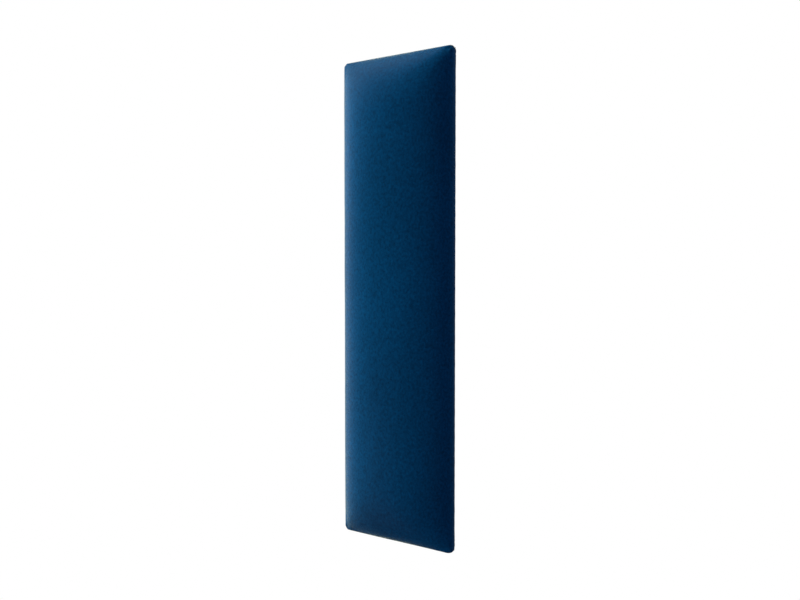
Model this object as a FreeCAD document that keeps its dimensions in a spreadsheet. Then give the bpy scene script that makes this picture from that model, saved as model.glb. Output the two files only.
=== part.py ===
"""Upholstered wall panel: velvet over wadding and foam on a plywood board, hung on Z-clips.

Frame, in millimetres: X is the width, +Z is up and Y = 0 is the wall's surface. The panel is on
the -Y side and its padded front faces -Y. The origin is the middle of the four wall screw holes,
which is also the panel's middle in X and Z. "Depth" below means the distance from the wall, so a
depth of 5 is the plane Y = -5.
"""
import FreeCAD, Part
import Sketcher
import math
import os

SIZES = {
    # the panel's outline and its layers, from the back to the front
    "panel_width": 150,
    "panel_height": 600,
    "velvet_thickness": 1,
    "board_thickness": 6,
    "foam_thickness": 24,
    "wadding_thickness": 4,
    "wadding_edge": 3,
    # the crown: how far in from the edge the front reaches its full thickness
    "crown_reach": 50,
    "cover_corner_radius": 5,
    "board_corner_radius": 4,
    "foam_corner_radius": 3,
    "corner_opening": 0.3,
    "cover_back_rounding": 1.5,
    # the velvet turned in on the back, and the folded corners on top of it
    "turn_in": 25,
    "pleat_leg": 20,
    "pleat_margin": 3,
    # Z-clips: one profile, used twice at each hanging height
    "clip_length": 80,
    "clip_thickness": 2.5,
    "clip_clearance": 0.2,
    "clip_flange": 18,
    "clip_tongue": 12,
    "clip_bend_radius": 0.6,
    "clip_drop": 0.1,
    # the screw holes of the clips on the wall, and of the clips on the board
    "wall_hole_diameter": 4.5,
    "wall_sink_diameter": 8,
    "wall_hole_spacing": 50,
    "wall_row_spacing": 360,
    "board_hole_diameter": 4,
    "board_sink_diameter": 7.4,
    "board_hole_spacing": 56,
    "pilot_diameter": 2.5,
    # countersunk screws that hold the clips to the board
    "screw_diameter": 3.5,
    "screw_head_diameter": 7,
    "screw_length": 8,
    "screw_point": 2.5,
    "recess_length": 3.6,
    "recess_width": 0.9,
    "recess_depth": 1.1,
    # staples
    "staple_crown": 12.8,
    "staple_leg": 6,
    "staple_wire_width": 0.95,
    "staple_wire_thickness": 0.65,
    "staple_inset": 11,
    "staple_spacing": 29,
    "staple_tilt": 7,
    # rubber bumpers
    "bumper_diameter": 12.7,
    "bumper_rounding": 2.4,
    "bumper_offset_x": 34,
    "bumper_offset_z": 252,
}

# depths and lengths worked out from those, as expressions of the sheet's cells
BOARD_BACK = "(2 * Sizes.clip_thickness + 3 * Sizes.clip_clearance)"
COVER_BACK = f"({BOARD_BACK} - Sizes.velvet_thickness)"
BOARD_FRONT = f"({BOARD_BACK} + Sizes.board_thickness)"
BOARD_WIDTH = "(Sizes.panel_width - 2 * Sizes.velvet_thickness)"
BOARD_HEIGHT = "(Sizes.panel_height - 2 * Sizes.velvet_thickness)"
TONGUE_OFFSET = "(Sizes.clip_thickness + 2 * Sizes.clip_clearance)"
PAIR_HEIGHT = "(2 * Sizes.clip_flange + Sizes.clip_tongue + Sizes.clip_drop)"

# each padded layer: its outline, its rise above the board's front and its crown's reach
COVER = {
    "width": "Sizes.panel_width",
    "height": "Sizes.panel_height",
    "rise": "(Sizes.foam_thickness + Sizes.wadding_thickness + Sizes.velvet_thickness)",
    "reach": "Sizes.crown_reach",
    "radius": "Sizes.cover_corner_radius",
}
WADDING = {
    "width": BOARD_WIDTH,
    "height": BOARD_HEIGHT,
    "rise": "(Sizes.foam_thickness + Sizes.wadding_thickness)",
    "reach": "(Sizes.crown_reach - Sizes.velvet_thickness)",
    "radius": "Sizes.board_corner_radius",
}
FOAM = {
    "width": f"({BOARD_WIDTH} - 2 * Sizes.wadding_edge)",
    "height": f"({BOARD_HEIGHT} - 2 * Sizes.wadding_edge)",
    "rise": "Sizes.foam_thickness",
    "reach": "(Sizes.crown_reach - Sizes.velvet_thickness - Sizes.wadding_edge)",
    "radius": "Sizes.foam_corner_radius",
}

CROWN_STEPS = 6
LEVELS = {"upper": 1, "lower": -1}
SIDES = {"left": -1, "right": 1}

doc = FreeCAD.newDocument("WallPanel")
sheet = doc.addObject("Spreadsheet::Sheet", "Sizes")
for row, (alias, number) in enumerate(SIZES.items(), start=1):
    sheet.set(f"A{row}", alias.replace("_", " "))
    sheet.set(f"B{row}", str(number))
    sheet.setAlias(f"B{row}", alias)
doc.recompute()


def value(expression):
    """The number that an expression of the sheet's cells stands for."""
    return float(sheet.evalExpression(expression))


# ---------------------------------------------------------------- bodies and sketches


def new_body(name):
    body = doc.addObject("PartDesign::Body", name)
    body.Label = name
    return body


def origin_part(body, role):
    return next(o for o in body.Origin.OriginFeatures if o.Role == role)


def new_sketch(body, name, plane="XZ_Plane", depth="0"):
    """A sketch on one of the body's own planes; XZ_Plane faces -Y, so its offset is a depth."""
    sketch = body.newObject("Sketcher::SketchObject", name)
    sketch.AttachmentSupport = [(origin_part(body, plane), "")]
    sketch.MapMode = "FlatFace"
    sketch.setExpression(".AttachmentOffset.Base.z", depth)
    return sketch


def relate(sketch, *arguments):
    return sketch.addConstraint(Sketcher.Constraint(*arguments))


def dimension(sketch, expression, *arguments):
    """Adds one dimension to a sketch and binds it to an expression."""
    index = relate(sketch, *arguments, value(expression))
    name = f"dimension_{index}"
    sketch.renameConstraint(index, name)
    sketch.setExpression(f"Constraints.{name}", expression)


def rounded_rectangle(sketch, width, height, radius):
    """A rectangle about the sketch's origin: four arcs and the four lines between them."""
    half_width, half_height, r = value(width) / 2, value(height) / 2, value(radius)
    corners = [(1, -1), (1, 1), (-1, 1), (-1, -1)]
    for k, (sx, sy) in enumerate(corners):
        centre = FreeCAD.Vector(sx * (half_width - r), sy * (half_height - r), 0)
        circle = Part.Circle(centre, FreeCAD.Vector(0, 0, 1), r)
        start = (k - 1) * math.pi / 2
        sketch.addGeometry(Part.ArcOfCircle(circle, start, start + math.pi / 2))
    for k in range(4):
        following = (k + 1) % 4
        start = sketch.getPoint(k, 2)
        end = sketch.getPoint(following, 1)
        line = sketch.addGeometry(Part.LineSegment(start, end))
        relate(sketch, "Tangent", k, 2, line, 1)
        relate(sketch, "Tangent", line, 2, following, 1)
        relate(sketch, "Vertical" if k % 2 == 0 else "Horizontal", line)
        if k:
            relate(sketch, "Equal", 0, k)
    relate(sketch, "Symmetric", 0, 3, 2, 3, -1, 1)
    dimension(sketch, radius, "Radius", 0)
    dimension(sketch, f"{height} - 2 * {radius}", "DistanceY", 4, 1, 4, 2)
    dimension(sketch, f"{width} - 2 * {radius}", "DistanceX", 5, 2, 5, 1)


def polygon(sketch, points):
    """A closed outline of straight lines; each dimension is given by the caller."""
    vectors = [FreeCAD.Vector(x, y, 0) for x, y in points]
    for k, start in enumerate(vectors):
        sketch.addGeometry(Part.LineSegment(start, vectors[(k + 1) % len(vectors)]))
    for k in range(len(vectors)):
        relate(sketch, "Coincident", k, 2, (k + 1) % len(vectors), 1)


def square_lines(sketch, count):
    """Sets each line of a sketch level or upright, as it was drawn."""
    for k in range(count):
        line = sketch.Geometry[k]
        run = line.EndPoint - line.StartPoint
        relate(sketch, "Horizontal" if abs(run.x) > abs(run.y) else "Vertical", k)


def centred_rectangle(sketch, width, height):
    x, y = value(width) / 2, value(height) / 2
    polygon(sketch, [(-x, -y), (x, -y), (x, y), (-x, y)])
    square_lines(sketch, 4)
    relate(sketch, "Symmetric", 0, 1, 2, 1, -1, 1)
    dimension(sketch, width, "DistanceX", 0, 1, 0, 2)
    dimension(sketch, height, "DistanceY", 1, 1, 1, 2)


def circles_in_a_row(sketch, diameter, spacing, height):
    """Two equal circles, one on each side of the sketch's upright axis."""
    r, x, y = value(diameter) / 2, value(spacing) / 2, value(height)
    for side in (-1, 1):
        centre = FreeCAD.Vector(side * x, y, 0)
        sketch.addGeometry(Part.Circle(centre, FreeCAD.Vector(0, 0, 1), r))
    relate(sketch, "Symmetric", 0, 3, 1, 3, -2)
    relate(sketch, "Equal", 0, 1)
    dimension(sketch, diameter, "Diameter", 0)
    dimension(sketch, spacing, "DistanceX", 0, 3, 1, 3)
    dimension(sketch, height, "DistanceY", -1, 1, 0, 3)


def extrude(body, kind, name, sketch, length, outward=True):
    """A Pad or a Pocket from a sketch on XZ_Plane, towards -Y when outward, else towards +Y."""
    feature = body.newObject(f"PartDesign::{kind}", name)
    feature.Profile = sketch
    feature.setExpression("Length", length)
    feature.Reversed = outward == (kind == "Pocket")
    return feature


def round_edges(body, base, name, radius, chosen):
    """A Fillet on those edges of the body's last feature that chosen(edge) accepts."""
    doc.recompute()
    fillet = body.newObject("PartDesign::Fillet", name)
    edges = [f"Edge{n}" for n, edge in enumerate(base.Shape.Edges, start=1) if chosen(edge)]
    fillet.Base = (base, edges)
    fillet.setExpression("Radius", radius)
    return fillet


def at_depth(edge, depth):
    box = edge.BoundBox
    return abs(box.YMin + depth) < 1e-4 and abs(box.YMax + depth) < 1e-4


# ---------------------------------------------------------------- padded layers


def crown(body, kind, name, layer):
    """A loft over the board: rounded rectangles that shrink and rise along a quarter ellipse."""
    sections = []
    for step in range(CROWN_STEPS + 1):
        angle = 90 * step / CROWN_STEPS
        inset = f"({layer['reach']} * (1 - cos({angle})))"
        depth = f"{BOARD_FRONT} + {layer['rise']} * sin({angle})"
        sketch = new_sketch(body, f"{name}_section_{step}", depth=depth)
        width = f"({layer['width']} - 2 * {inset})"
        height = f"({layer['height']} - 2 * {inset})"
        radius = f"({layer['radius']} + Sizes.corner_opening * {inset})"
        rounded_rectangle(sketch, width, height, radius)
        sections.append(sketch)
    loft = body.newObject(f"PartDesign::{kind}Loft", name)
    loft.Profile = sections[0]
    loft.Sections = sections[1:]
    return loft


def make_foam():
    body = new_body("foam_core")
    crown(body, "Additive", "foam_block", FOAM)
    return body


def make_wadding():
    body = new_body("wadding_layer")
    crown(body, "Additive", "wadding_outside", WADDING)
    crown(body, "Subtractive", "wadding_inside", FOAM)
    return body


def make_cover():
    """The velvet: a shell over the padding, wrapped round the board and turned in behind it."""
    body = new_body("velvet_cover")
    band = new_sketch(body, "edge_band_outline", depth=COVER_BACK)
    rounded_rectangle(band, COVER["width"], COVER["height"], COVER["radius"])
    extrude(body, "Pad", "edge_band", band, f"{BOARD_FRONT} - {COVER_BACK}")
    crown(body, "Additive", "front_outside", COVER)

    hollow = new_sketch(body, "board_space_outline", depth=BOARD_BACK)
    rounded_rectangle(hollow, WADDING["width"], WADDING["height"], WADDING["radius"])
    extrude(body, "Pocket", "board_space", hollow, "Sizes.board_thickness")
    crown(body, "Subtractive", "front_inside", WADDING)

    window = new_sketch(body, "back_window_outline", depth=COVER_BACK)
    open_width = "(Sizes.panel_width - 2 * Sizes.turn_in)"
    open_height = "(Sizes.panel_height - 2 * Sizes.turn_in)"
    centred_rectangle(window, open_width, open_height)
    cut = extrude(body, "Pocket", "back_window", window, "Sizes.velvet_thickness")

    def outer_back_edge(edge):
        box = edge.BoundBox
        far = max(abs(box.XMin), abs(box.XMax)) > value("Sizes.panel_width") / 2 - 1e-3
        high = max(abs(box.ZMin), abs(box.ZMax)) > value("Sizes.panel_height") / 2 - 1e-3
        return at_depth(edge, value(COVER_BACK)) and (far or high)

    rounding = "Sizes.cover_back_rounding"
    round_edges(body, cut, "back_rounding", rounding, outer_back_edge)
    pleats = new_sketch(body, "pleat_outlines", depth=COVER_BACK)
    pleat_triangles(pleats)
    extrude(body, "Pad", "pleats", pleats, "Sizes.velvet_thickness", outward=False)
    return body


def pleat_triangles(sketch):
    """A right triangle in each corner of the turned-in velvet, where the corner is folded over."""
    leg = value("Sizes.pleat_leg")
    x = value("Sizes.panel_width / 2 - Sizes.pleat_margin")
    y = value("Sizes.panel_height / 2 - Sizes.pleat_margin")
    for corner, (sx, sy) in enumerate([(1, 1), (-1, 1), (-1, -1), (1, -1)]):
        tip = FreeCAD.Vector(sx * x, sy * y, 0)
        along = FreeCAD.Vector(sx * (x - leg), sy * y, 0)
        down = FreeCAD.Vector(sx * x, sy * (y - leg), 0)
        first = 3 * corner
        sketch.addGeometry(Part.LineSegment(tip, along))
        sketch.addGeometry(Part.LineSegment(along, down))
        sketch.addGeometry(Part.LineSegment(down, tip))
        for k in range(3):
            relate(sketch, "Coincident", first + k, 2, first + (k + 1) % 3, 1)
        relate(sketch, "Horizontal", first)
        relate(sketch, "Vertical", first + 2)
        level = (first, 2, first, 1) if sx > 0 else (first, 1, first, 2)
        upright = (first + 2, 1, first + 2, 2) if sy > 0 else (first + 2, 2, first + 2, 1)
        dimension(sketch, "Sizes.pleat_leg", "DistanceX", *level)
        dimension(sketch, "Sizes.pleat_leg", "DistanceY", *upright)
        across = "Sizes.panel_width / 2 - Sizes.pleat_margin"
        up = "Sizes.panel_height / 2 - Sizes.pleat_margin"
        if sx > 0:
            dimension(sketch, across, "DistanceX", -1, 1, first, 1)
        else:
            dimension(sketch, across, "DistanceX", first, 1, -1, 1)
        if sy > 0:
            dimension(sketch, up, "DistanceY", -1, 1, first, 1)
        else:
            dimension(sketch, up, "DistanceY", first, 1, -1, 1)


# ---------------------------------------------------------------- the board


def pair_base(level):
    """The height of the lower end of a pair of Z-clips."""
    return f"({LEVELS[level]} * Sizes.wall_row_spacing / 2 - Sizes.clip_flange / 2)"


def board_screw_height(level):
    return f"({pair_base(level)} + {PAIR_HEIGHT} - Sizes.clip_flange / 2)"


def make_board():
    body = new_body("back_board")
    outline = new_sketch(body, "board_outline", depth=BOARD_BACK)
    rounded_rectangle(outline, BOARD_WIDTH, BOARD_HEIGHT, "Sizes.board_corner_radius")
    extrude(body, "Pad", "board_sheet", outline, "Sizes.board_thickness")
    for level in LEVELS:
        pilots = new_sketch(body, f"pilot_circles_{level}", depth=BOARD_BACK)
        spacing = "Sizes.board_hole_spacing"
        circles_in_a_row(pilots, "Sizes.pilot_diameter", spacing, board_screw_height(level))
        extrude(body, "Pocket", f"pilots_{level}", pilots, "Sizes.board_thickness")
    return body


# ---------------------------------------------------------------- Z-clips and their screws


def make_clip(name, hole_diameter, sink_diameter, hole_spacing):
    """One Z-clip in its own frame: flange on Y = 0 from Z = 0 up, tongue stood off towards -Y."""
    body = new_body(name)
    profile = new_sketch(body, f"{name}_profile", plane="YZ_Plane")
    t, offset = value("Sizes.clip_thickness"), value(TONGUE_OFFSET)
    flange, tongue = value("Sizes.clip_flange"), value("Sizes.clip_tongue")
    points = [
        (0, 0),
        (-t, 0),
        (-t, flange - t),
        (-offset - t, flange - t),
        (-offset - t, flange + tongue),
        (-offset, flange + tongue),
        (-offset, flange),
        (0, flange),
    ]
    polygon(profile, points)
    square_lines(profile, len(points))
    relate(profile, "Coincident", 0, 1, -1, 1)
    dimension(profile, "Sizes.clip_thickness", "DistanceX", 0, 2, 0, 1)
    dimension(profile, "Sizes.clip_flange - Sizes.clip_thickness", "DistanceY", 1, 1, 1, 2)
    dimension(profile, TONGUE_OFFSET, "DistanceX", 2, 2, 2, 1)
    dimension(profile, "Sizes.clip_tongue + Sizes.clip_thickness", "DistanceY", 3, 1, 3, 2)
    dimension(profile, "Sizes.clip_thickness", "DistanceX", 4, 1, 4, 2)
    dimension(profile, "Sizes.clip_tongue", "DistanceY", 5, 2, 5, 1)
    bar = body.newObject("PartDesign::Pad", f"{name}_bar")
    bar.Profile = profile
    bar.Midplane = True
    bar.setExpression("Length", "Sizes.clip_length")

    def long_edge(edge):
        return edge.BoundBox.XLength > value("Sizes.clip_length") / 2

    rounded = round_edges(body, bar, f"{name}_roundings", "Sizes.clip_bend_radius", long_edge)
    screw_holes(body, rounded, name, hole_diameter, sink_diameter, hole_spacing)
    return body


def screw_holes(body, base, name, diameter, sink, spacing):
    """Two countersunk holes through the middle of the flange, entered from the -Y side."""
    circles = new_sketch(body, f"{name}_hole_circles", depth="Sizes.clip_thickness")
    circles_in_a_row(circles, diameter, spacing, "Sizes.clip_flange / 2")
    doc.recompute()
    solid_before = base.Shape.Volume
    hole = body.newObject("PartDesign::Hole", f"{name}_holes")
    hole.Profile = circles
    hole.ThreadType = "None"
    hole.setExpression("Diameter", diameter)
    hole.DepthType = "ThroughAll"
    hole.HoleCutType = "Countersink"
    hole.HoleCutCustomValues = True
    hole.setExpression("HoleCutDiameter", sink)
    hole.HoleCutCountersinkAngle = 90
    doc.recompute()
    if hole.Shape.Volume >= solid_before:
        raise RuntimeError(f"the screw holes of {name} cut nothing")


def make_wall_clip(level):
    """A clip on the wall: its tongue points up, away from the wall."""
    holes = ("Sizes.wall_hole_diameter", "Sizes.wall_sink_diameter", "Sizes.wall_hole_spacing")
    body = make_clip(f"wall_clip_{level}", *holes)
    body.setExpression(".Placement.Base.z", pair_base(level))
    return body


def make_panel_clip(level):
    """The same profile turned over on the board, so that its tongue hooks behind the wall clip's."""
    holes = ("Sizes.board_hole_diameter", "Sizes.board_sink_diameter", "Sizes.board_hole_spacing")
    body = make_clip(f"panel_clip_{level}", *holes)
    turned = FreeCAD.Rotation(FreeCAD.Vector(1, 0, 0), 180)
    body.Placement = FreeCAD.Placement(FreeCAD.Vector(0, 0, 0), turned)
    body.setExpression(".Placement.Base.y", f"-{BOARD_BACK}")
    body.setExpression(".Placement.Base.z", f"{pair_base(level)} + {PAIR_HEIGHT}")
    return body


def make_clip_screws(level):
    """Two countersunk wood screws, their heads just under the face of the panel clip."""
    name = f"clip_screws_{level}"
    body = new_body(name)
    outline = new_sketch(body, f"{name}_half_section", plane="XY_Plane")
    head, shank = value("Sizes.screw_head_diameter / 2"), value("Sizes.screw_diameter / 2")
    length, point = value("Sizes.screw_length"), value("Sizes.screw_point")
    cone = head - shank
    points = [(0, 0), (0, -length), (shank, point - length), (shank, -cone), (head, 0)]
    polygon(outline, points)
    relate(outline, "Coincident", 0, 1, -1, 1)
    relate(outline, "Vertical", 0)
    relate(outline, "Vertical", 2)
    relate(outline, "Horizontal", 4)
    dimension(outline, "Sizes.screw_length", "DistanceY", 0, 2, 0, 1)
    dimension(outline, "Sizes.screw_diameter / 2", "DistanceX", 1, 1, 1, 2)
    dimension(outline, "Sizes.screw_point", "DistanceY", 1, 1, 1, 2)
    dimension(outline, "Sizes.screw_head_diameter / 2", "DistanceX", 4, 2, 4, 1)
    half = "(Sizes.screw_head_diameter - Sizes.screw_diameter) / 2"
    dimension(outline, half, "DistanceY", 3, 1, 3, 2)
    turned = body.newObject("PartDesign::Revolution", f"{name}_turned")
    turned.Profile = outline
    turned.ReferenceAxis = (outline, ["V_Axis"])
    turned.Angle = 360

    long_side, short_side = "Sizes.recess_length", "Sizes.recess_width"
    for arm, (width, height) in enumerate([(long_side, short_side), (short_side, long_side)]):
        slot = new_sketch(body, f"{name}_recess_outline_{arm}")
        centred_rectangle(slot, width, height)
        extrude(body, "Pocket", f"{name}_recess_{arm}", slot, "Sizes.recess_depth")

    row = body.newObject("PartDesign::LinearPattern", f"{name}_row")
    row.TransformMode = "Whole shape"
    row.Direction = (origin_part(body, "X_Axis"), [""])
    row.setExpression("Length", "Sizes.board_hole_spacing")
    row.Occurrences = 2
    body.Tip = row

    under_face = "(Sizes.board_sink_diameter - Sizes.screw_head_diameter) / 2"
    clip_face = f"{BOARD_BACK} - Sizes.clip_thickness"
    body.setExpression(".Placement.Base.x", "-Sizes.board_hole_spacing / 2")
    body.setExpression(".Placement.Base.y", f"-({clip_face} + {under_face})")
    body.setExpression(".Placement.Base.z", board_screw_height(level))
    return body


# ---------------------------------------------------------------- bumpers and staples


def make_bumper(level, side):
    """A self-adhesive rubber dome that stops just short of the wall."""
    name = f"wall_bumper_{level}_{side}"
    body = new_body(name)
    foot = new_sketch(body, f"{name}_outline")
    radius = value("Sizes.bumper_diameter") / 2
    foot.addGeometry(Part.Circle(FreeCAD.Vector(0, 0, 0), FreeCAD.Vector(0, 0, 1), radius))
    relate(foot, "Coincident", 0, 3, -1, 1)
    dimension(foot, "Sizes.bumper_diameter", "Diameter", 0)
    thickness = f"{BOARD_BACK} - Sizes.clip_clearance"
    disc = extrude(body, "Pad", f"{name}_disc", foot, thickness, outward=False)

    def rim(edge):
        return at_depth(edge, -value(thickness))

    round_edges(body, disc, f"{name}_dome", "Sizes.bumper_rounding", rim)
    body.setExpression(".Placement.Base.x", f"{SIDES[side]} * Sizes.bumper_offset_x")
    body.setExpression(".Placement.Base.y", f"-{BOARD_BACK}")
    body.setExpression(".Placement.Base.z", f"{LEVELS[level]} * Sizes.bumper_offset_z")
    return body


def staple():
    """One staple lying along X: its crown on Y = 0, standing towards +Y, its legs towards -Y."""
    crown_length, leg = value("Sizes.staple_crown"), value("Sizes.staple_leg")
    wide, thick = value("Sizes.staple_wire_width"), value("Sizes.staple_wire_thickness")
    bar = Part.makeBox(crown_length, thick, wide, FreeCAD.Vector(-crown_length / 2, 0, -wide / 2))
    legs = []
    for x in (-crown_length / 2, crown_length / 2 - thick):
        legs.append(Part.makeBox(thick, leg, wide, FreeCAD.Vector(x, -leg, -wide / 2)))
    shape = bar.fuse(legs).removeSplitter()
    shoulders = []
    for edge in shape.Edges:
        box = edge.BoundBox
        at_end = abs(abs(box.Center.x) - crown_length / 2) < 1e-6
        if at_end and box.ZLength > wide / 2 and abs(box.Center.y - thick) < 1e-6:
            shoulders.append(edge)
    return shape.makeFillet(0.9 * thick, shoulders)


def staple_group(name, stand_off, places):
    """A node of staples, each given as x, z and its angle in the plane of the board."""
    one = staple()
    copies = []
    for x, z, angle in places:
        turned = FreeCAD.Rotation(FreeCAD.Vector(0, 1, 0), angle)
        copy = one.copy()
        copy.Placement = FreeCAD.Placement(FreeCAD.Vector(x, 0, z), turned)
        copies.append(copy)
    group = doc.addObject("Part::Feature", name)
    group.Label = name
    group.Shape = Part.makeCompound(copies)
    group.Placement = FreeCAD.Placement(FreeCAD.Vector(0, -stand_off, 0), FreeCAD.Rotation())
    return group


def hand_wander(index, amount):
    """A small uneven number from -amount to amount, as a stapler held by hand gives."""
    return amount * math.sin(2.4 * index + 1.3) * math.cos(0.7 * index)


def row_positions(length, spacing):
    """Evenly spread places along a row that is centred on zero."""
    count = round(length / spacing) + 1
    return [length * (k / (count - 1) - 0.5) for k in range(count)]


def make_cover_staples():
    """The four rows of staples that hold the turned-in velvet to the board."""
    inset, spacing = value("Sizes.staple_inset"), value("Sizes.staple_spacing")
    tilt = value("Sizes.staple_tilt")
    half_x = value("Sizes.panel_width") / 2 - inset
    half_z = value("Sizes.panel_height") / 2 - inset
    keep_clear = value("Sizes.pleat_margin + Sizes.pleat_leg") + value("Sizes.staple_crown")
    upright = row_positions(value("Sizes.panel_height") - 2 * keep_clear, spacing)
    level = row_positions(value("Sizes.panel_width") - 2 * keep_clear, spacing)
    rows = {}
    for side, sign in SIDES.items():
        rows[side] = [
            (sign * half_x + hand_wander(k, 0.8), z + hand_wander(k + 3, 1.5),
             90 + hand_wander(k + sign, tilt))
            for k, z in enumerate(upright)
        ]
    for side, sign in {"top": 1, "bottom": -1}.items():
        rows[side] = [
            (x + hand_wander(k, 1.0), sign * half_z + hand_wander(k + 5, 0.7),
             hand_wander(k + sign, tilt))
            for k, x in enumerate(level)
        ]
    stand_off = value(COVER_BACK)
    return [staple_group(f"cover_staples_{side}", stand_off, rows[side]) for side in rows]


def make_corner_staples():
    """Two staples across each folded corner, on top of its double thickness."""
    reach = value("Sizes.pleat_margin") + value("Sizes.pleat_leg") / 3
    step = value("Sizes.staple_wire_width") * 3
    places = []
    for sx in (-1, 1):
        for sz in (-1, 1):
            for row in (-1, 1):
                x = value("Sizes.panel_width") / 2 - reach - row * step / 2
                z = value("Sizes.panel_height") / 2 - reach - row * step / 2
                angle = sx * sz * 45 + hand_wander(len(places), 5)
                places.append((sx * x, sz * z, angle))
    stand_off = value(COVER_BACK) - value("Sizes.velvet_thickness")
    return staple_group("corner_staples", stand_off, places)


# ---------------------------------------------------------------- the whole panel


def make_pieces():
    pieces = [make_cover(), make_wadding(), make_foam(), make_board()]
    pieces += make_cover_staples()
    pieces.append(make_corner_staples())
    for level in LEVELS:
        pieces.append(make_wall_clip(level))
        pieces.append(make_panel_clip(level))
        pieces.append(make_clip_screws(level))
        for side in SIDES:
            pieces.append(make_bumper(level, side))
    return pieces


def check_document(pieces):
    for item in doc.Objects:
        if "Invalid" in item.State or "Error" in item.State:
            raise RuntimeError(f"{item.Label} failed: {item.State}")
    for piece in pieces:
        if piece.Shape.isNull() or not piece.Shape.isValid():
            raise RuntimeError(f"{piece.Label} has no valid shape")


pieces = make_pieces()
doc.recompute()
check_document(pieces)
os.makedirs("parts", exist_ok=True)
for piece in pieces:
    piece.Shape.exportStep(f"parts/{piece.Label}.step")
    box = piece.Shape.BoundBox
    print(
        f"{piece.Label}: {len(piece.Shape.Solids)} solids, {piece.Shape.Volume:.0f} mm3,"
        f" X {box.XMin:.2f} to {box.XMax:.2f}, Y {box.YMin:.2f} to {box.YMax:.2f},"
        f" Z {box.ZMin:.2f} to {box.ZMax:.2f}"
    )
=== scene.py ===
"""Looks of the upholstered wall panel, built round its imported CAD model.

The velvet cover, the wadding and the foam are meshes made here; the board, clips, screws, staples
and bumpers are the CAD parts with better materials. Lengths are metres in the CAD frame: X across,
+Z up, the wall at Y = 0 and the padded front facing -Y.
"""
import math
import bpy
import numpy as np
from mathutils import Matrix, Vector, noise


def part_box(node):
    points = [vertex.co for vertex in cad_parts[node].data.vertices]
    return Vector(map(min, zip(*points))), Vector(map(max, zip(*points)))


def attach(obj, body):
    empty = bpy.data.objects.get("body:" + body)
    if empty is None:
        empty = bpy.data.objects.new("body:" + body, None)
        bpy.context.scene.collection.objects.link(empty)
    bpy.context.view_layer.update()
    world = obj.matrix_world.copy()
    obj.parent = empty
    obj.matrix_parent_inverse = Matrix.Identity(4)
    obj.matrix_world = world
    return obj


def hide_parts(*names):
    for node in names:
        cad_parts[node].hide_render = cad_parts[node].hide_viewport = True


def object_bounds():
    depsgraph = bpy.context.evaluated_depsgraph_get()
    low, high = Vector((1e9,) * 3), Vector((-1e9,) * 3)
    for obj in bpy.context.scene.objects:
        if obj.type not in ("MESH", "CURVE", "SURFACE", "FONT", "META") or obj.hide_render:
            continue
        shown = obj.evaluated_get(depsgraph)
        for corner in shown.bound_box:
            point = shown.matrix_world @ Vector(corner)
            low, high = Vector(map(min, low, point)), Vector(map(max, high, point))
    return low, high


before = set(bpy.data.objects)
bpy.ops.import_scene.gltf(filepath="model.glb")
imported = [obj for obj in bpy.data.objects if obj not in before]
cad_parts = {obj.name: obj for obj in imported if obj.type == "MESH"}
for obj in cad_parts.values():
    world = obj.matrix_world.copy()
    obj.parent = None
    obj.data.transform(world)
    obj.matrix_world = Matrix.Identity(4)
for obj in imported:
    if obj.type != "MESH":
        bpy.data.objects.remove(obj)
cad_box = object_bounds()

MM = 0.001
PANEL_BODY = "panel"

COVER_LOW, COVER_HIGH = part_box("velvet_cover")
BOARD_LOW, BOARD_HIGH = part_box("back_board")
FOAM_LOW, FOAM_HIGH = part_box("foam_core")
WADDING_LOW, WADDING_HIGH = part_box("wadding_layer")

# the velvet's outside: half its width and height, its thickness, and where its faces lie
HALF_WIDTH = COVER_HIGH.x
HALF_HEIGHT = COVER_HIGH.z
VELVET = COVER_HIGH.x - BOARD_HIGH.x
TURN_IN_Y = BOARD_HIGH.y + VELVET
TURN_IN_WIDTH = 25 * MM
EDGE_BAND = 6 * MM
BAND_END_Y = TURN_IN_Y - EDGE_BAND
FRONT_Y = COVER_LOW.y

# the outline's corners, and how much rounder each ring's corners are for each metre inwards
CORNER_RADIUS = 5 * MM
CORNER_OPENING = 0.4
EDGE_ROUNDING = 1.5 * MM

# the crown's curve, how near it comes to the middle line, and how much it falls at the corners
CROWN_POWER = 2.2
CROWN_ROUNDNESS = 1.8
CROWN_END = 0.96
DOME_SHARE = 0.6
DOME_START = 6 * MM

# the cloth simulation: its start under the crown, its grips, its limits and its length
SLACK_CROWN = 0.98
FOAM_GRIP = 0.1
EDGE_GRIP_WIDTH = 12 * MM
GRIP_STIFFNESS = 0.02
SWELL_PRESSURE = 4
SWELL_CAP = 5 * MM
SINK_CAP = 0.1 * MM
CLOTH_FRAMES = 20

# points along the top, along a side and round a corner of each ring, and the rings' spacing
COVER_COUNTS = (32, 132, 8)
COVER_STEP = 3.4 * MM
LAYER_COUNTS = (20, 84, 4)
LAYER_STEP = 5 * MM

# the stapled back: fullness between dimples, pulls along the back edge, gathers at the corners
DIMPLE_WIDTH = 9 * MM
FULLNESS = 0.45 * MM
FULLNESS_CHANGE = 0.2 * MM
PULL_REACH = 9 * MM
SCALLOP_DEPTH = 0.22 * MM
SCALLOP_WIDTH = 8 * MM
SCALLOP_INSET = 6 * MM
GATHER_HEIGHT = 0.28 * MM
CUT_DRIFT = 1.1 * MM
CUT_NICKS = 0.35 * MM

# the folded corners, and how uneven the front is in broad and in small waves
FOLD_LEG = 22 * MM
FOLD_MARGIN = 1.2 * MM
FOLD_HEIGHT = 0.95 * MM
FOLD_RIPPLE = 0.16 * MM
BROAD_WAVES = 0.22 * MM
SMALL_WAVES = 0.07 * MM

# how far apart the noise of one seed is from the next one's
SEED_STEPS = (7.3, 3.1, 5.7)

LAMP_DISTANCE = 1.8
LAMP_WIDTH = 0.7


# ---------------------------------------------------------------- meshes made of rings


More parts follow.
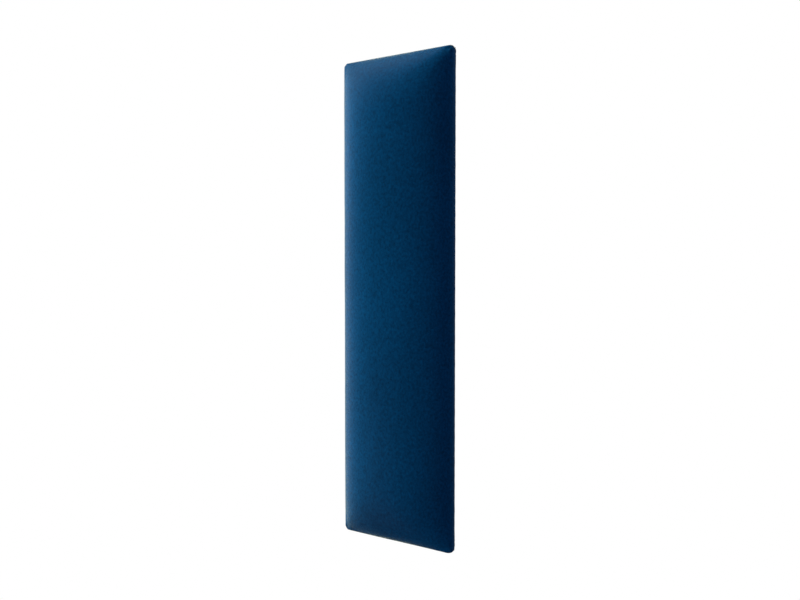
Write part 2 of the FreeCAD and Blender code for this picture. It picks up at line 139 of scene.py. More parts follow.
def crown(share):
    """Height of the crown, from 0 to 1, at a share of the way from the outline to the middle."""
    return (1 - (1 - share) ** CROWN_POWER) ** (1 / CROWN_ROUNDNESS)


def spread_evenly(points, step, start_step=None):
    """Points along a line at about equal steps, with finer steps at its start if they are given."""
    fine_length = 15 * MM
    points = np.array(points, float)
    lengths = np.r_[0, np.cumsum(np.linalg.norm(np.diff(points, axis=0), axis=1))]
    places, at = [0.0], 0.0
    while at < lengths[-1]:
        grow = min(1, at / fine_length)
        at += step if start_step is None else start_step + (step - start_step) * grow
        places.append(min(at, lengths[-1]))
    if places[-1] - places[-2] < step / 3:
        places.pop(-2)
    return np.c_[[np.interp(places, lengths, points[:, k]) for k in (0, 1)]].T


def crown_profile(half_width, edge_y, rise, step):
    """(inset, y) over a crown, from its outline almost to its middle line."""
    samples = 400
    shares = np.linspace(0, 1, samples) ** 2 * CROWN_END
    points = [(s * half_width, edge_y - rise * crown(s)) for s in shares]
    return spread_evenly(points, step, step / 3)


def opening_radius(inset, half_width, corner_radius):
    """Corner radius of the ring at an inset: it grows towards the middle, but stays inside it."""
    widest_share, soft = 0.85, 3 * MM
    wide = corner_radius + CORNER_OPENING * inset
    most = widest_share * (half_width - inset)
    return -soft * math.log(math.exp(-wide / soft) + math.exp(-most / soft))


def ring(half_x, half_z, radius, counts):
    """Points (x, z) round a rounded rectangle, clockwise from the middle of its top."""
    across, up, corner = counts
    dx, dz = half_x - radius, half_z - radius
    points = []
    for k in range(across // 2):
        points.append((dx * 2 * k / across, half_z))
    for k in range(corner):
        a = math.pi / 2 * k / corner
        points.append((dx + radius * math.sin(a), dz + radius * math.cos(a)))
    for k in range(up // 2):
        points.append((half_x, dz - 2 * dz * k / up))
    quarter = np.array(points)
    lower = quarter[1:][::-1] * (1, -1)
    right = np.vstack([quarter, [(half_x, 0)], lower, [(0, -half_z)]])
    left = right[1:-1][::-1] * (-1, 1)
    return np.vstack([right, left])


def ring_mesh(name, half_x, half_z, profile, radii, counts, close_start):
    """A mesh through one ring for each (inset, y) of a profile, closed at its last ring."""
    rings = [
        np.insert(ring(half_x - inset, half_z - inset, radius, counts), 1, y, axis=1)
        for (inset, y), radius in zip(profile, radii)
    ]
    count = len(rings[0])
    faces = []
    for k in range(len(rings) - 1):
        low, high = k * count, (k + 1) * count
        for i in range(count):
            j = (i + 1) % count
            faces.append((low + i, high + i, high + j, low + j))
    faces += bridge(range((len(rings) - 1) * count, len(rings) * count))
    if close_start:
        faces += [face[::-1] for face in bridge(range(count))]
    mesh = bpy.data.meshes.new(name)
    mesh.from_pydata(np.vstack(rings).tolist(), [], faces)
    mesh.update()
    piece = bpy.data.objects.new(name, mesh)
    bpy.context.collection.objects.link(piece)
    return piece


def bridge(indices):
    """Faces across a ring that is alike left and right, from its top to its bottom."""
    right = list(indices)
    count = len(right)
    half = count // 2
    left = [right[-k % count] for k in range(half + 1)]
    faces = [(right[0], left[1], right[1])]
    for k in range(1, half - 1):
        faces.append((right[k], left[k], left[k + 1], right[k + 1]))
    faces.append((right[half - 1], left[half - 1], right[half]))
    return faces


def dome(piece, rise=None):
    """Lowers a crowned front towards its corners, where the roundings across and along meet.

    With a rise, the front becomes the product of both crowns; a layer under it only sinks with it.
    """
    points = vertex_array(piece.data)
    across = np.clip(1 - np.abs(points[:, 0]) / HALF_WIDTH, 0, 1)
    along = np.clip((HALF_HEIGHT - np.abs(points[:, 2])) / HALF_WIDTH, 0, 1)
    height = np.maximum(BAND_END_Y - points[:, 1], 0)
    if rise is None:
        rounded = height * crown(np.maximum(across, along))
    else:
        rounded = rise * crown(across) * crown(along)
    inset = np.minimum(across, along) * HALF_WIDTH
    share = DOME_SHARE * smooth_step(inset, 0, DOME_START) * (height > 0)
    points[:, 1] += (height - rounded) * share
    set_vertices(piece.data, points)


# ---------------------------------------------------------------- the velvet cover


def cover_profile(step):
    """(inset, y) of the velvet's outside from cut edge to crown, and the crown's first ring."""
    back = spread_evenly([(TURN_IN_WIDTH, TURN_IN_Y), (EDGE_ROUNDING, TURN_IN_Y)], step)
    bend_steps = 4
    bend = [math.pi / 2 * k / bend_steps for k in range(1, bend_steps)]
    rounding = [
        (EDGE_ROUNDING * (1 - math.sin(a)), TURN_IN_Y - EDGE_ROUNDING * (1 - math.cos(a)))
        for a in bend
    ]
    band = spread_evenly([(0, TURN_IN_Y - EDGE_ROUNDING), (0, BAND_END_Y)], step / 2)
    over = crown_profile(HALF_WIDTH, BAND_END_Y, BAND_END_Y - FRONT_Y, step)
    return np.vstack([back, rounding, band[:-1], over]), len(back) + len(rounding) + len(band) - 1


def cover_radii(profile, first_front):
    """The corner radius of each ring: square at the cut edge, opening over the front."""
    sharpest = 0.8 * MM
    radii = []
    for k, (inset, _) in enumerate(profile):
        if k < first_front:
            radii.append(max(CORNER_RADIUS - inset, sharpest))
        else:
            radii.append(opening_radius(inset, HALF_WIDTH, CORNER_RADIUS))
    return radii


def make_cover_surface():
    profile, first_front = cover_profile(COVER_STEP)
    radii = cover_radii(profile, first_front)
    return ring_mesh("cover", HALF_WIDTH, HALF_HEIGHT, profile, radii, COVER_COUNTS, False)


def swell(cover):
    """Settles the front as cloth: fixed round its edge, held softly by the foam, blown up a little.

    Only its depth is taken from the cloth, and it is scaled back to the front's full depth.
    """
    mesh = cover.data
    start = vertex_array(mesh)
    front = start[:, 1] < BAND_END_Y
    low = start.copy()
    low[front, 1] = BAND_END_Y + (low[front, 1] - BAND_END_Y) * SLACK_CROWN
    set_vertices(mesh, low)

    move = run_cloth(cover, cloth_grips(start, front), low)
    y = low[:, 1] + np.clip(move[:, 1], -SWELL_CAP, SWELL_CAP)
    y = BAND_END_Y + (y - BAND_END_Y) * (FRONT_Y - BAND_END_Y) / (y.min() - BAND_END_Y)
    start[front, 1] = np.minimum(y, start[:, 1] + SINK_CAP)[front]
    set_vertices(mesh, start)


def cloth_grips(points, front):
    """How firmly each point is held, from 1 behind the front and at its edge to the foam's grip."""
    near_x, near_z = HALF_WIDTH - np.abs(points[:, 0]), HALF_HEIGHT - np.abs(points[:, 2])
    inset = np.minimum(near_x, near_z)
    return np.where(front, 1 - (1 - FOAM_GRIP) * smooth_step(inset, 0, EDGE_GRIP_WIDTH), 1)


def run_cloth(piece, grips, before):
    """Simulates a piece as velvet for a moment, and gives how far each of its points moves."""
    held = piece.vertex_groups.new(name="held")
    for k, grip in enumerate(grips):
        held.add([k], float(grip), "REPLACE")
    cloth = piece.modifiers.new("swell", "CLOTH")
    settings = cloth.settings
    settings.quality = 5
    settings.tension_stiffness = settings.compression_stiffness = 15
    settings.shear_stiffness = 5
    settings.bending_stiffness = 0.5
    settings.pin_stiffness = GRIP_STIFFNESS
    settings.use_pressure = True
    settings.uniform_pressure_force = SWELL_PRESSURE
    settings.vertex_group_mass = "held"
    settings.effector_weights.gravity = 0
    cloth.collision_settings.use_collision = False
    cloth.point_cache.frame_start, cloth.point_cache.frame_end = 1, CLOTH_FRAMES
    scene = bpy.context.scene
    for number in range(1, CLOTH_FRAMES + 1):
        scene.frame_set(number)
    graph = bpy.context.evaluated_depsgraph_get()
    move = vertex_array(piece.evaluated_get(graph).to_mesh()) - before
    piece.modifiers.remove(cloth)
    piece.vertex_groups.remove(held)
    scene.frame_set(1)
    return move


def vertex_array(mesh):
    flat = np.empty(len(mesh.vertices) * 3)
    mesh.vertices.foreach_get("co", flat)
    return flat.reshape(-1, 3)


def normal_array(mesh):
    return np.array([normal.vector for normal in mesh.vertex_normals])


def set_vertices(mesh, points):
    mesh.vertices.foreach_set("co", np.asarray(points, float).ravel())
    mesh.update()


def apply_modifiers(piece):
    graph = bpy.context.evaluated_depsgraph_get()
    shaped = bpy.data.meshes.new_from_object(piece.evaluated_get(graph), depsgraph=graph)
    old = piece.data
    piece.modifiers.clear()
    piece.data = shaped
    shaped.name = piece.name
    bpy.data.meshes.remove(old)


def subdivide(piece, levels=1):
    smooth = piece.modifiers.new("smooth", "SUBSURF")
    smooth.levels = smooth.render_levels = levels
    apply_modifiers(piece)


def thicken(piece, thickness, inner=0, rim=0):
    shell = piece.modifiers.new("thickness", "SOLIDIFY")
    shell.thickness = thickness
    shell.offset = -1
    shell.material_offset = inner
    shell.material_offset_rim = rim
    apply_modifiers(piece)


def staple_places(node):
    """The (x, z) middles of a row of staples, read from its CAD part."""
    widest_staple_gap = 5 * MM
    points = vertex_array(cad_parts[node].data)[:, (0, 2)]
    along = np.ptp(points, axis=0).argmax()
    points = points[points[:, along].argsort()]
    gaps = np.flatnonzero(np.diff(points[:, along]) > widest_staple_gap) + 1
    return [part.min(axis=0) / 2 + part.max(axis=0) / 2 for part in np.split(points, gaps)]


def nearest_gap(values, places):
    return np.abs(values[:, None] - np.array(places)[None, :]).min(axis=1)


def smooth_step(value, low, high):
    share = np.clip((value - low) / (high - low), 0, 1)
    return share * share * (3 - 2 * share)


def bell(distance, width):
    return np.exp(-((distance / width) ** 2))


def wander(points, scale, seed):
    """Smooth noise from about -1 to 1 at each point; scale is the size of its bumps."""
    shift = Vector([seed * step for step in SEED_STEPS])
    return np.array([noise.noise(Vector(p) / scale + shift) for p in points])


def roughen(piece, amount, size, seed, sink=0.0):
    """Moves a piece's points in and out by noise of this size, and sinks them all by a little."""
    points, normals = vertex_array(piece.data), normal_array(piece.data)
    points += normals * (amount * wander(points, size, seed) - sink)[:, None]
    set_vertices(piece.data, points)


def detail_cover(cover):
    """What stapling by hand does to the velvet: dimples, scallops, gathers and a wavy cut edge."""
    points, normals = vertex_array(cover.data), normal_array(cover.data)
    x, y, z = points.T
    near_x, near_z = HALF_WIDTH - np.abs(x), HALF_HEIGHT - np.abs(z)
    by_side, inset = near_x < near_z, np.minimum(near_x, near_z)
    near_back = bell(TURN_IN_Y - y, PULL_REACH)
    on_back = smooth_step(normals[:, 1], 0.3, 0.8)
    on_front = smooth_step(-normals[:, 1], 0.0, 0.5)

    left, right, top, bottom = [
        staple_places(f"cover_staples_{side}") for side in ("left", "right", "top", "bottom")
    ]
    beside = nearest_gap(z, [place[1] for place in left + right])
    across = nearest_gap(x, [place[0] for place in top + bottom])
    scallops = -SCALLOP_DEPTH * bell(inset, SCALLOP_INSET)
    scallops = scallops * bell(np.where(by_side, beside, across), SCALLOP_WIDTH)
    pulls = scallops + corner_gathers(x, z, near_x, near_z)
    waves = BROAD_WAVES * wander(points, 55 * MM, 4) + SMALL_WAVES * wander(points, 18 * MM, 5)
    dimples = staple_dimples(points, inset, left + right + top + bottom)
    points += normals * (dimples * on_back + pulls * near_back + waves * on_front)[:, None]

    cut = on_back * smooth_step(inset, 12 * MM, TURN_IN_WIDTH)
    shift = cut * (CUT_DRIFT * wander(points, 32 * MM, 6) + CUT_NICKS * wander(points, 7 * MM, 7))
    points[:, 0] += np.where(by_side, shift * np.sign(x), 0)
    points[:, 2] += np.where(by_side, 0, shift * np.sign(z))
    set_vertices(cover.data, points)


def staple_dimples(points, inset, staples):
    """How far the turned-in velvet stands off the board: full between staples, dimpled at them."""
    on_board = points[:, (0, 2)]
    near = np.min([np.hypot(*(on_board - place).T) for place in staples], axis=0)
    fullness = FULLNESS + FULLNESS_CHANGE * wander(points, 14 * MM, 1)
    return smooth_step(inset, 1 * MM, 7 * MM) * (1 - bell(near, DIMPLE_WIDTH)) * fullness


def corner_gathers(x, z, near_x, near_z):
    """Small folds that fan out round each corner, from a centre 20 mm in from both edges."""
    centre, fan_degrees, folds = 20 * MM, 24, 26
    angle = np.arctan2(near_z - centre, near_x - centre)
    turn = np.abs(np.degrees(angle) + 135)
    turn = np.minimum(turn, 360 - turn)
    waves = np.cos(angle * folds + np.sign(x) + 2 * np.sign(z))
    return GATHER_HEIGHT * bell(turn, fan_degrees) * waves


def fold_lift(across, down, phase):
    """How far a corner fold stands off the back, at a place measured from the corner's tip."""
    to_fold = (FOLD_LEG - across - down) / math.sqrt(2)
    rounding = min(1, math.sqrt(max(0, 1 - (1 - min(1, to_fold / MM)) ** 2)))
    lift = FOLD_HEIGHT * rounding * smooth_step(min(across, down), -1.0 * MM, 3.5 * MM)
    ripples = math.cos(9 * math.atan2(down + 2 * MM, across + 2 * MM) + phase)
    return lift + FOLD_RIPPLE * smooth_step(to_fold, 0, 4 * MM) * ripples


def corner_fold(sign_x, sign_z):
    """One corner of the velvet, folded over on the back: a triangle with a soft folded edge."""
    steps = 18
    tip_x, tip_z = HALF_WIDTH - FOLD_MARGIN, HALF_HEIGHT - FOLD_MARGIN
    points, index = [], {}
    for i in range(steps + 1):
        for j in range(steps + 1 - i):
            across, down = FOLD_LEG * i / steps, FOLD_LEG * j / steps
            lift = fold_lift(across, down, sign_x + 2 * sign_z)
            index[i, j] = len(points)
            points.append((sign_x * (tip_x - across), TURN_IN_Y + lift, sign_z * (tip_z - down)))
    faces = []
    for i in range(steps):
        for j in range(steps - i):
            faces.append((index[i, j], index[i + 1, j], index[i, j + 1]))
            if j < steps - i - 1:
                faces.append((index[i + 1, j], index[i + 1, j + 1], index[i, j + 1]))
    rim = [index[i, 0] for i in range(steps + 1)]
    rim += [index[steps - j, j] for j in range(1, steps + 1)]
    rim += [index[0, j] for j in range(steps - 1, 0, -1)]
    first = len(points)
    sunk = TURN_IN_Y - 0.5 * VELVET
    points += [(points[k][0], sunk, points[k][2]) for k in rim]
    for k in range(len(rim)):
        j = (k + 1) % len(rim)
        faces.append((rim[j], rim[k], first + k, first + j))
    faces.append(tuple(range(first, len(points))))
    if sign_x * sign_z < 0:
        faces = [face[::-1] for face in faces]
    mesh = bpy.data.meshes.new("corner_fold")
    mesh.from_pydata(points, [], faces)
    fold = bpy.data.objects.new("corner_fold", mesh)
    bpy.context.collection.objects.link(fold)
    return fold


def join(piece, others):
    with bpy.context.temp_override(
        active_object=piece, selected_editable_objects=[piece, *others]
    ):
        bpy.ops.object.join()


def make_cover():
    cover = make_cover_surface()
    dome(cover, rise=BAND_END_Y - FRONT_Y)
    swell(cover)
    subdivide(cover)
    detail_cover(cover)
    cover.data.materials.append(velvet_material())
    cover.data.materials.append(velvet_back_material())
    thicken(cover, VELVET, inner=1, rim=1)
    folds = [corner_fold(sign_x, sign_z) for sign_x in (-1, 1) for sign_z in (-1, 1)]
    for fold in folds:
        fold.data.materials.append(cover.data.materials[0])
    join(cover, folds)
    cover.data.shade_smooth()
    return cover


# ---------------------------------------------------------------- wadding and foam


def make_foam():
    """The foam block: its outline from the CAD part, its front crowned like the cover's."""
    low, high = FOAM_LOW, FOAM_HIGH
    band_end = high.y - 2 * MM
    crowned = crown_profile(high.x, band_end, band_end - low.y, LAYER_STEP)
    profile = np.vstack([[(0, high.y)], crowned])
    radii = [opening_radius(inset, high.x, 3 * MM) for inset, _ in profile]
    foam = ring_mesh("foam", high.x, high.z, profile, radii, LAYER_COUNTS, True)
    dome(foam)
    subdivide(foam)
    roughen(foam, 0.25 * MM, 9 * MM, 11)
    foam.data.materials.append(foam_material())
    foam.data.shade_smooth()
    return foam


def make_wadding():
    """A soft sheet over the foam, thinner where it turns down over the foam's edge."""
    low, high = WADDING_LOW, WADDING_HIGH
    slack, step_down = 1.2 * MM, 2 * MM
    base_y, half = high.y, high.x - slack
    outside = crown_profile(half, base_y, base_y - low.y - slack, LAYER_STEP)
    inner_half = FOAM_HIGH.x + slack / 2
    inner_rise = base_y - FOAM_LOW.y - step_down
    inside = crown_profile(inner_half, base_y - step_down, inner_rise, LAYER_STEP)
    inside[:, 0] += half - inner_half
    inside = np.vstack([[(half - inner_half, base_y)], inside])
    profile = np.vstack([inside[::-1], outside])
    radii = [opening_radius(max(inset, 0), half, 4 * MM) for inset, _ in profile]
    wadding = ring_mesh("wadding", half, high.z - slack, profile, radii, LAYER_COUNTS, True)
    dome(wadding)
    subdivide(wadding)
    roughen(wadding, 0.2 * MM, 6 * MM, 12, sink=0.1 * MM)
    wadding.data.materials.append(wadding_material())
    wadding.data.shade_smooth()
    return wadding


# ---------------------------------------------------------------- materials


def new_material(name):
    material = bpy.data.materials.new(name)
    material.use_nodes = True
    return material, material.node_tree, material.node_tree.nodes["Principled BSDF"]


def add_node(tree, kind, sockets=None, **settings):
    """A node with its settings and its inputs, each a number, a colour or another node's output."""
    made = tree.nodes.new(kind)
    for key, value in settings.items():
        setattr(made, key, value)
    for key, value in (sockets or {}).items():
        connect(tree, made.inputs[key], value)
    return made


def connect(tree, socket, value):
    if isinstance(value, bpy.types.NodeSocket):
        tree.links.new(value, socket)
    else:
        socket.default_value = value


def object_space(tree, stretch=(1, 1, 1)):
    """Places on the object in metres; stretch over 1 makes a pattern finer along that axis."""
    place = add_node(tree, "ShaderNodeTexCoord")
    scaled = add_node(
        tree,
        "ShaderNodeVectorMath",
        {0: place.outputs["Object"], 1: stretch},
        operation="MULTIPLY",
    )
    return scaled.outputs[0]


def noise_of(tree, place, size, detail=3, roughness=0.5):
    """Noise whose bumps are about this size in metres."""
    unscaled_bump = 0.7
    sockets = {
        "Vector": place, "Scale": unscaled_bump / size, "Detail": detail, "Roughness": roughness,
    }
    return add_node(tree, "ShaderNodeTexNoise", sockets).outputs["Fac"]


def remap(tree, value, low, high, to_low=0.0, to_high=1.0):
    sockets = {
        "Value": value, "From Min": low, "From Max": high, "To Min": to_low, "To Max": to_high,
    }
    return add_node(tree, "ShaderNodeMapRange", sockets).outputs["Result"]


def blend_colours(tree, share, first, second, mode="MIX"):
    mix = add_node(tree, "ShaderNodeMix", data_type="RGBA", blend_type=mode)
    connect(tree, mix.inputs["Factor"], share)
    connect(tree, mix.inputs[6], first)
    connect(tree, mix.inputs[7], second)
    return mix.outputs[2]


def bump(tree, height, depth, strength=1.0, under=None):
    sockets = {"Height": height, "Distance": depth, "Strength": strength}
    if under is not None:
        sockets["Normal"] = under
    return add_node(tree, "ShaderNodeBump", sockets).outputs["Normal"]


def velvet_material():
    """Short-pile velvet: deep blue, with brushed patches, a fine mottled nap and a pale sheen; the
    nap's light and dark speckle is painted into the colour.
    """
    material, tree, shader = new_material("velvet")
    even, upright = object_space(tree), object_space(tree, (1, 1, 0.75))
    patches = noise_of(tree, upright, 60 * MM, detail=2)
    mottle = noise_of(tree, upright, 1.7 * MM, detail=3, roughness=0.65)
    pile = noise_of(tree, even, 0.5 * MM, detail=2, roughness=0.7)
    deep, light = (0.0002, 0.0395, 0.098, 1), (0.0004, 0.048, 0.118, 1)
    base = blend_colours(tree, remap(tree, patches, 0.3, 0.7), deep, light)
    # the speckle in the base colour is painted sheen and shade of the nap; the same noise also
    # bumps the pile
    painted_nap_light = remap(tree, mottle, 0.3, 0.7, 0.66, 1.34)
    grey = add_node(tree, "ShaderNodeCombineColor", {0: painted_nap_light, 1: painted_nap_light, 2: painted_nap_light}).outputs[0]
    colour = blend_colours(tree, 1.0, base, grey, mode="MULTIPLY")
    tree.links.new(colour, shader.inputs["Base Color"])
    normal = bump(tree, mottle, 0.6 * MM, 0.7)
    normal = bump(tree, pile, 0.25 * MM, 0.5, under=normal)
    tree.links.new(normal, shader.inputs["Normal"])
    shader.inputs["Roughness"].default_value = 0.9
    shader.inputs["Specular IOR Level"].default_value = 0.0
    shader.inputs["Sheen Weight"].default_value = 0.74
    shader.inputs["Sheen Roughness"].default_value = 0.25
    shader.inputs["Sheen Tint"].default_value = (0.88, 0.97, 0.58, 1)
    shader.inputs["Coat Weight"].default_value = 0.032
    shader.inputs["Coat Roughness"].default_value = 0.4
    return material


def velvet_back_material():
    """The velvet's woven ground, seen at its cut edge and on its inside."""
    material, tree, shader = new_material("velvet_ground")
    threads = object_space(tree)
    weave = [
        add_node(
            tree,
            "ShaderNodeTexWave",
            {"Vector": threads, "Scale": 620.0, "Distortion": 1.5, "Detail": 1.0},
            bands_direction=direction,
        ).outputs["Fac"]
        for direction in ("X", "Z")
    ]
    cloth = add_node(tree, "ShaderNodeMath", {0: weave[0], 1: weave[1]}, operation="MULTIPLY")
    colour = blend_colours(tree, cloth.outputs[0], (0.006, 0.02, 0.045, 1), (0.02, 0.055, 0.11, 1))
    tree.links.new(colour, shader.inputs["Base Color"])
    tree.links.new(bump(tree, cloth.outputs[0], 0.15 * MM), shader.inputs["Normal"])
    shader.inputs["Roughness"].default_value = 0.95
    shader.inputs["Specular IOR Level"].default_value = 0.1
    return material


def foam_material():
    """Cut upholstery foam with open cells, their middles darkened as painted shade."""
    material, tree, shader = new_material("foam")
    place = object_space(tree)
    cells = add_node(tree, "ShaderNodeTexVoronoi", {"Vector": place, "Scale": 900.0})
    tint = noise_of(tree, place, 25 * MM)
    pores = remap(tree, cells.outputs["Distance"], 0.0, 0.6)
    base = blend_colours(tree, tint, (0.74, 0.64, 0.4, 1), (0.84, 0.76, 0.52, 1))
    # darker at the cells' middles: painted shade inside the open pores
    colour = blend_colours(tree, pores, (0.5, 0.41, 0.23, 1), base)
    tree.links.new(colour, shader.inputs["Base Color"])
    tree.links.new(bump(tree, pores, 0.4 * MM), shader.inputs["Normal"])
    shader.inputs["Roughness"].default_value = 0.95
    return material


def wadding_material():
    """White polyester wadding: fine fibres that lie every way."""
    material, tree, shader = new_material("wadding")
    place = object_space(tree)
    fluff = noise_of(tree, place, 5 * MM, detail=5, roughness=0.7)
    fibres = noise_of(tree, object_space(tree, (1, 1, 0.2)), 0.5 * MM, detail=2)
    colour = blend_colours(tree, fluff, (0.62, 0.62, 0.6, 1), (0.86, 0.86, 0.85, 1))
    tree.links.new(colour, shader.inputs["Base Color"])
    normal = bump(tree, fluff, 1.2 * MM)
    tree.links.new(bump(tree, fibres, 0.3 * MM, under=normal), shader.inputs["Normal"])
    shader.inputs["Roughness"].default_value = 0.9
    shader.inputs["Sheen Weight"].default_value = 0.3
    return material


def plywood_material():
    """Thin birch plywood, its grain along the panel."""
    material, tree, shader = new_material("plywood")
    along = object_space(tree, (1, 1, 0.035))
    figure = noise_of(tree, along, 5 * MM, detail=4, roughness=0.55)
    waves = add_node(
        tree,
        "ShaderNodeTexWave",
        {
            "Vector": object_space(tree, (1, 1, 0.05)), "Scale": 38.0, "Distortion": 7.0,
            "Detail": 3.0, "Detail Scale": 0.6,
        },
    ).outputs["Fac"]
    fibres = noise_of(tree, object_space(tree, (1, 1, 0.02)), 0.35 * MM, detail=2)
    pores = noise_of(tree, object_space(tree, (1, 1, 0.06)), 0.7 * MM, detail=1)
    stain = noise_of(tree, object_space(tree, (1, 1, 0.4)), 70 * MM, detail=2)
    base = blend_colours(tree, figure, (0.5, 0.32, 0.17, 1), (0.72, 0.53, 0.33, 1))
    layers = (
        (waves, 0.0, 1.0, 0.4, (0.46, 0.28, 0.13, 1)),
        (stain, 0.35, 0.7, 0.25, (0.8, 0.62, 0.42, 1)),
        (fibres, 0.35, 0.65, 0.22, (0.3, 0.18, 0.09, 1)),
        (pores, 0.66, 0.74, 0.55, (0.2, 0.11, 0.05, 1)),
    )
    for value, low, high, most, colour in layers:
        base = blend_colours(tree, remap(tree, value, low, high, 0.0, most), base, colour)
    tree.links.new(base, shader.inputs["Base Color"])
    normal = bump(tree, fibres, 0.06 * MM)
    tree.links.new(bump(tree, pores, -0.1 * MM, under=normal), shader.inputs["Normal"])
    tree.links.new(remap(tree, figure, 0.3, 0.7, 0.62, 0.78), shader.inputs["Roughness"])
    shader.inputs["Specular IOR Level"].default_value = 0.3
    return material


def metal_material(name, colour, worn, roughness, lines):
    """Bare metal with drawn lines along X or none, soft smudges and a little unevenness."""
    smoother, rougher = 0.06, 0.08
    material, tree, shader = new_material(name)
    shader.inputs["Metallic"].default_value = 1.0
    smudge = noise_of(tree, object_space(tree), 12 * MM, detail=4, roughness=0.6)
    drawn = noise_of(tree, object_space(tree, lines), 0.35 * MM, detail=3)
    base = blend_colours(tree, remap(tree, smudge, 0.35, 0.7), colour, worn)
    tree.links.new(base, shader.inputs["Base Color"])
    rough = add_node(
        tree,
        "ShaderNodeMath",
        {
            0: remap(tree, smudge, 0.3, 0.7, -smoother, rougher),
            1: remap(tree, drawn, 0.3, 0.7, roughness - smoother, roughness + rougher),
        },
        operation="ADD",
    )
    tree.links.new(rough.outputs[0], shader.inputs["Roughness"])
    tree.links.new(bump(tree, drawn, 0.02 * MM), shader.inputs["Normal"])
    return material


def rubber_material():
    """Matt black rubber with a dusty bloom."""
    material, tree, shader = new_material("rubber")
    place = object_space(tree)
    dust = noise_of(tree, place, 3 * MM, detail=4, roughness=0.65)
    grain = noise_of(tree, place, 0.3 * MM, detail=2)
    black, bloom = (0.012, 0.012, 0.013, 1), (0.05, 0.05, 0.048, 1)
    colour = blend_colours(tree, remap(tree, dust, 0.5, 0.8), black, bloom)
    tree.links.new(colour, shader.inputs["Base Color"])
    tree.links.new(remap(tree, dust, 0.3, 0.7, 0.5, 0.72), shader.inputs["Roughness"])
    tree.links.new(bump(tree, grain, 0.05 * MM), shader.inputs["Normal"])
    return material


def dress_cad_parts():
    """Better materials for the CAD parts that stay in view."""
    aluminium = metal_material(
        "clip_aluminium", (0.74, 0.75, 0.76, 1), (0.62, 0.63, 0.65, 1), 0.36, (0.02, 1, 1)
    )
    zinc = metal_material(
        "screw_zinc", (0.72, 0.7, 0.62, 1), (0.52, 0.52, 0.5, 1), 0.3, (1, 1, 1)
    )
    staple_wire = metal_material(
        "staple_wire", (0.7, 0.7, 0.71, 1), (0.5, 0.51, 0.53, 1), 0.34, (1, 1, 1)
    )
    rubber, plywood = rubber_material(), plywood_material()
    finishes = {
        "clip_screws": zinc, "wall_clip": aluminium, "panel_clip": aluminium,
        "wall_bumper": rubber, "back_board": plywood, "cover_staples": staple_wire,
        "corner_staples": staple_wire,
    }
    for name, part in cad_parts.items():
        for start, finish in finishes.items():
            if name.startswith(start):
                for slot in part.material_slots:
                    slot.material = finish


# ---------------------------------------------------------------- camera, lights and floor


def make_camera():
    """The viewing angle: from the right of the panel's front and just above its middle."""
    turn, tilt = math.radians(27.31), math.radians(1.63)
    place = Vector((342.2 * MM, TURN_IN_Y - 661.7 * MM, 41.4 * MM))
    look = Vector(
        (-math.sin(turn) * math.cos(tilt), math.cos(turn) * math.cos(tilt), -math.sin(tilt))
    )
    data = bpy.data.cameras.new("camera")
    data.lens = 27.0
    data.shift_y = -0.02
    data.clip_start = 0.01
    camera = bpy.data.objects.new("camera", data)
    camera.location = place
    camera.rotation_euler = look.to_track_quat("-Z", "Y").to_euler()
    bpy.context.collection.objects.link(camera)
    bpy.context.scene.camera = camera


def lamp(name, turn, rise, power, height=1.6):
    """A tall soft light aimed at the panel's middle, this many degrees to its right and up."""
    turn, rise = math.radians(turn), math.radians(rise)
    way = Vector(
        (math.sin(turn) * math.cos(rise), -math.cos(turn) * math.cos(rise), math.sin(rise))
    )
    data = bpy.data.lights.new(name, "AREA")
    data.shape = "RECTANGLE"
    data.size, data.size_y = LAMP_WIDTH, height
    data.energy = power
    light = bpy.data.objects.new(name, data)
    light.location = way * LAMP_DISTANCE
    light.rotation_euler = (-way).to_track_quat("-Z", "Y").to_euler()
    bpy.context.collection.objects.link(light)


def make_lights():
    lamp("side_light", -95, 6, 72, height=2.4)
    lamp("high_light", -68, 52, 58)
    lamp("low_light", -42, -38, 11)
    lamp("back_light", 200, 35, 14)
    lamp("right_light", 130, 15, 5)


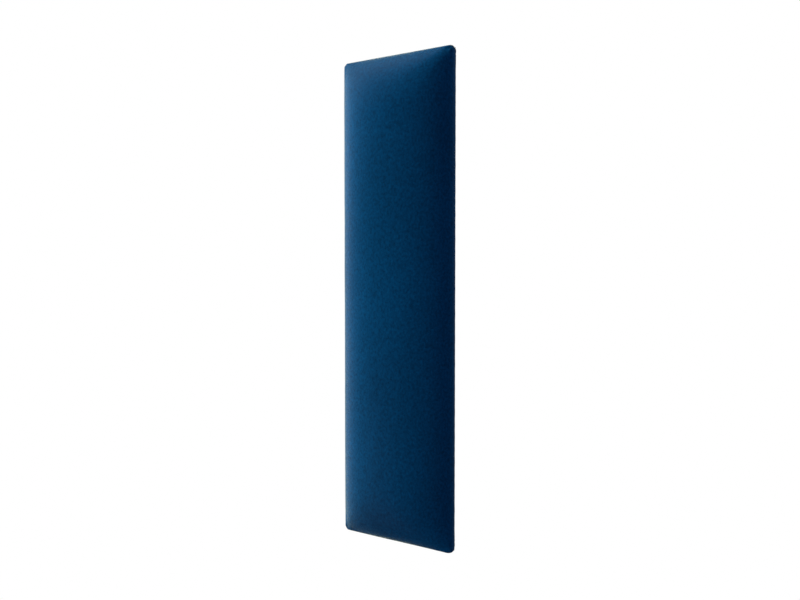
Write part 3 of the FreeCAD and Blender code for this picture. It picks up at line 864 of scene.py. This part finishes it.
def make_world():
    """White to the camera, and a dim even light on the panel."""
    world = bpy.data.worlds.new("studio")
    bpy.context.scene.world = world
    world.use_nodes = True
    tree = world.node_tree
    tree.nodes.clear()
    white = add_node(tree, "ShaderNodeBackground", {"Color": (1, 1, 1, 1), "Strength": 1.0})
    dim = add_node(tree, "ShaderNodeBackground", {"Color": (0.6, 0.64, 1, 1), "Strength": 0.31})
    path = add_node(tree, "ShaderNodeLightPath")
    mix = add_node(
        tree,
        "ShaderNodeMixShader",
        {0: path.outputs["Is Camera Ray"], 1: dim.outputs[0], 2: white.outputs[0]},
    )
    output = add_node(tree, "ShaderNodeOutputWorld")
    tree.links.new(mix.outputs[0], output.inputs["Surface"])


def make_floor():
    """A plain pale floor, a little below the panel, that hides nothing from below."""
    reach, height = 6.0, cad_box[0].z - 40 * MM
    mesh = bpy.data.meshes.new("floor")
    corners = [(-reach, -reach), (reach, -reach), (reach, reach), (-reach, reach)]
    mesh.from_pydata([(x, y, height) for x, y in corners], [], [(0, 1, 2, 3)])
    floor = bpy.data.objects.new("floor", mesh)
    bpy.context.collection.objects.link(floor)
    material, tree, shader = new_material("floor")
    tree.nodes.remove(shader)
    glow = add_node(tree, "ShaderNodeEmission", {"Color": (1, 1, 1, 1), "Strength": 1.0})
    clear = add_node(tree, "ShaderNodeBsdfTransparent")
    side = add_node(tree, "ShaderNodeNewGeometry").outputs["Backfacing"]
    mix = add_node(
        tree, "ShaderNodeMixShader", {0: side, 1: glow.outputs[0], 2: clear.outputs[0]}
    )
    output = next(n for n in tree.nodes if n.type == "OUTPUT_MATERIAL")
    tree.links.new(mix.outputs[0], output.inputs["Surface"])
    mesh.materials.append(material)
    floor.visible_diffuse = False
    floor.visible_glossy = False
    floor.visible_shadow = False


# ---------------------------------------------------------------- the scene


def main():
    make_camera()
    make_lights()
    make_world()
    make_floor()
    bpy.context.scene.view_settings.view_transform = "Standard"
    dress_cad_parts()

    layers = [
        (make_cover(), "velvet_cover", "velvet", 0.9),
        (make_wadding(), "wadding_layer", "wadding", 0.6),
        (make_foam(), "foam_core", "foam", 1.0),
    ]
    for piece, node, slot, fill in layers:
        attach(piece, PANEL_BODY)
        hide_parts(node)


main()
